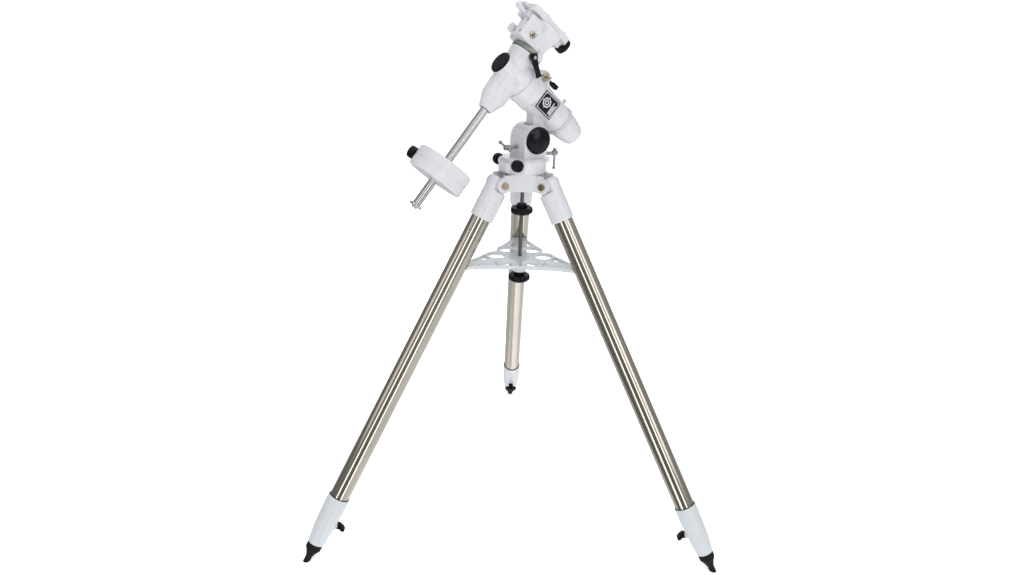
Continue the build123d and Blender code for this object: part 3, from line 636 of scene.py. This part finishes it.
DEC_BOX_POLE_FACE = 54
bm = bmesh.new()
for x in (5, 27):
    for along_dec in (69, 97):
        socket_screw(bm, 3.2, 1.2, POLAR @ shift(x, along_dec, DEC_BOX_POLE_FACE))
piece("dec_box_screws", bm, ZINC, "dec_head")

# ---------------------------------------------------------------- camera and floor
CAMERA_PLACE = Vector((-1.4708, 0.9013, 1.2636))
CAMERA_RIGHT = Vector((-0.502913, -0.863661, 0.034172))
CAMERA_UP = Vector((0.330952, -0.155892, 0.930687))
CAMERA_LENS = 27.29

camera_data = bpy.data.cameras.new("camera")
camera_data.lens = CAMERA_LENS
camera_data.sensor_width = 36
camera = bpy.data.objects.new("camera", camera_data)
bpy.context.scene.collection.objects.link(camera)
back = CAMERA_RIGHT.cross(CAMERA_UP).normalized()
camera.matrix_world = axes(CAMERA_PLACE, CAMERA_RIGHT.normalized(), back)
bpy.context.scene.camera = camera

FLOOR = 150.0
FLOOR_GLOW = 0.55
floor_mesh = bpy.data.meshes.new("floor")
floor_corners = [(-FLOOR, -FLOOR, 0), (FLOOR, -FLOOR, 0), (FLOOR, FLOOR, 0), (-FLOOR, FLOOR, 0)]
floor_mesh.from_pydata(floor_corners, [], [(0, 1, 2, 3)])
floor = bpy.data.objects.new("floor", floor_mesh)
bpy.context.scene.collection.objects.link(floor)
pale = Shader("pale_floor", (0.86, 0.86, 0.86), 0.0, 0.9)
pale.shader.inputs["Emission Color"].default_value = (1, 1, 1, 1)
pale.shader.inputs["Emission Strength"].default_value = FLOOR_GLOW
pale.shader.inputs["Specular IOR Level"].default_value = 0.0
floor_mesh.materials.append(pale.material)
floor.visible_glossy = False


# ---------------------------------------------------------------- light
LIGHT_AIM = Vector((0, 0, 0.8))


def softbox(name, place, width, height, power):
    """A rectangular area light that the camera doesn't see."""
    data = bpy.data.lights.new(name, "AREA")
    data.shape = "RECTANGLE"
    data.size = width
    data.size_y = height
    data.energy = power
    lamp = bpy.data.objects.new(name, data)
    lamp.location = place
    lamp.rotation_euler = (LIGHT_AIM - Vector(place)).to_track_quat("-Z", "Y").to_euler()
    lamp.visible_camera = False
    bpy.context.scene.collection.objects.link(lamp)


softbox("top_light", (0.2, 0.2, 3.6), 3.0, 3.0, 27)
softbox("left_light", (0.6, 3.2, 1.9), 1.6, 2.2, 10)
softbox("right_light", (-3.2, -1.2, 1.7), 1.4, 2.2, 16)
softbox("back_light", (2.8, -1.6, 2.2), 2.4, 2.4, 20)

# The world: white to the camera, and to everything else a dim room with tall strip boxes.
# Bearings are in degrees from the camera's own, and levels are the light's strength.
STRIP_BEARINGS = (-26, 21)
STRIP_HALF = 4
STRIP_SOFT = 3
STRIP_LEVEL = 3.0
RIGHT_BAND = (95, 60, 15)              # bearing, half width and soft side
RIGHT_LEVEL = 0.16
RIGHT_LOW_LEVEL = 0.65
LEFT_BAND = (-130, 22, 12)
LEFT_LOW_LEVEL = 0.5
LOW_START, LOW_SLOPE = 0.1, 4.0        # the floor's glow, by the depth under the horizon
DOWN_START, DOWN_SLOPE = 0.74, 7.0
DOWN_LEVEL = 0.75
ROOM_LEVEL = 0.20
CEILING_LEVEL = 0.35
BACKDROP_LEVEL = 1.3

world = bpy.data.worlds.new("studio")
bpy.context.scene.world = world
world.use_nodes = True
nodes, links = world.node_tree.nodes, world.node_tree.links
nodes.clear()
direction = nodes.new("ShaderNodeTexCoord").outputs["Generated"]


def world_math(operation, first, second=None, clamp=False):
    node = nodes.new("ShaderNodeMath")
    node.operation = operation
    node.use_clamp = clamp
    for index, value in enumerate((first, second)):
        if value is None:
            continue
        if isinstance(value, (int, float)):
            node.inputs[index].default_value = value
        else:
            links.new(value, node.inputs[index])
    return node.outputs[0]


def add(first, second):
    return world_math("ADD", first, second)


def scaled(value, factor):
    return world_math("MULTIPLY", value, factor)


split = nodes.new("ShaderNodeSeparateXYZ")
links.new(direction, split.inputs[0])
east, north, height = split.outputs[0], split.outputs[1], split.outputs[2]
bearing = world_math("ARCTAN2", north, east)
depth = scaled(height, -1.0)
camera_bearing = math.degrees(math.atan2(CAMERA_PLACE.y, CAMERA_PLACE.x))


def band(centre_deg, half_deg, soft_deg):
    """1 inside a band of bearings from the camera's, 0 outside, with soft sides."""
    away = world_math("SUBTRACT", bearing, math.radians(camera_bearing + centre_deg))
    wrapped = world_math("ARCTAN2", world_math("SINE", away), world_math("COSINE", away))
    distance = world_math("ABSOLUTE", wrapped)
    fall = world_math("SUBTRACT", math.radians(half_deg + soft_deg), distance)
    return world_math("DIVIDE", fall, math.radians(soft_deg), clamp=True)


def below(start, slope):
    """0 above a depth under the horizon, rising to 1 beneath it."""
    return world_math("MULTIPLY", world_math("SUBTRACT", depth, start), slope, clamp=True)


strips = add(*[band(side, STRIP_HALF, STRIP_SOFT) for side in STRIP_BEARINGS])
right_side = band(*RIGHT_BAND)
low_glow = add(scaled(right_side, RIGHT_LOW_LEVEL), scaled(band(*LEFT_BAND), LEFT_LOW_LEVEL))
down_glow = scaled(below(DOWN_START, DOWN_SLOPE), DOWN_LEVEL)
glow = add(scaled(below(LOW_START, LOW_SLOPE), low_glow), down_glow)
sides = add(scaled(right_side, RIGHT_LEVEL), glow)
room = add(scaled(strips, STRIP_LEVEL), add(sides, ROOM_LEVEL))
ceiling = scaled(world_math("MAXIMUM", height, 0.0), CEILING_LEVEL)

dim = nodes.new("ShaderNodeBackground")
dim.inputs["Color"].default_value = (0.97, 0.98, 1.0, 1)
links.new(add(room, ceiling), dim.inputs["Strength"])
plain = nodes.new("ShaderNodeBackground")
plain.inputs["Color"].default_value = (1, 1, 1, 1)
plain.inputs["Strength"].default_value = BACKDROP_LEVEL
choose = nodes.new("ShaderNodeMixShader")
links.new(nodes.new("ShaderNodeLightPath").outputs["Is Camera Ray"], choose.inputs[0])
links.new(dim.outputs[0], choose.inputs[1])
links.new(plain.outputs[0], choose.inputs[2])
output = nodes.new("ShaderNodeOutputWorld")
links.new(choose.outputs[0], output.inputs["Surface"])

bpy.context.scene.view_settings.view_transform = "Standard"
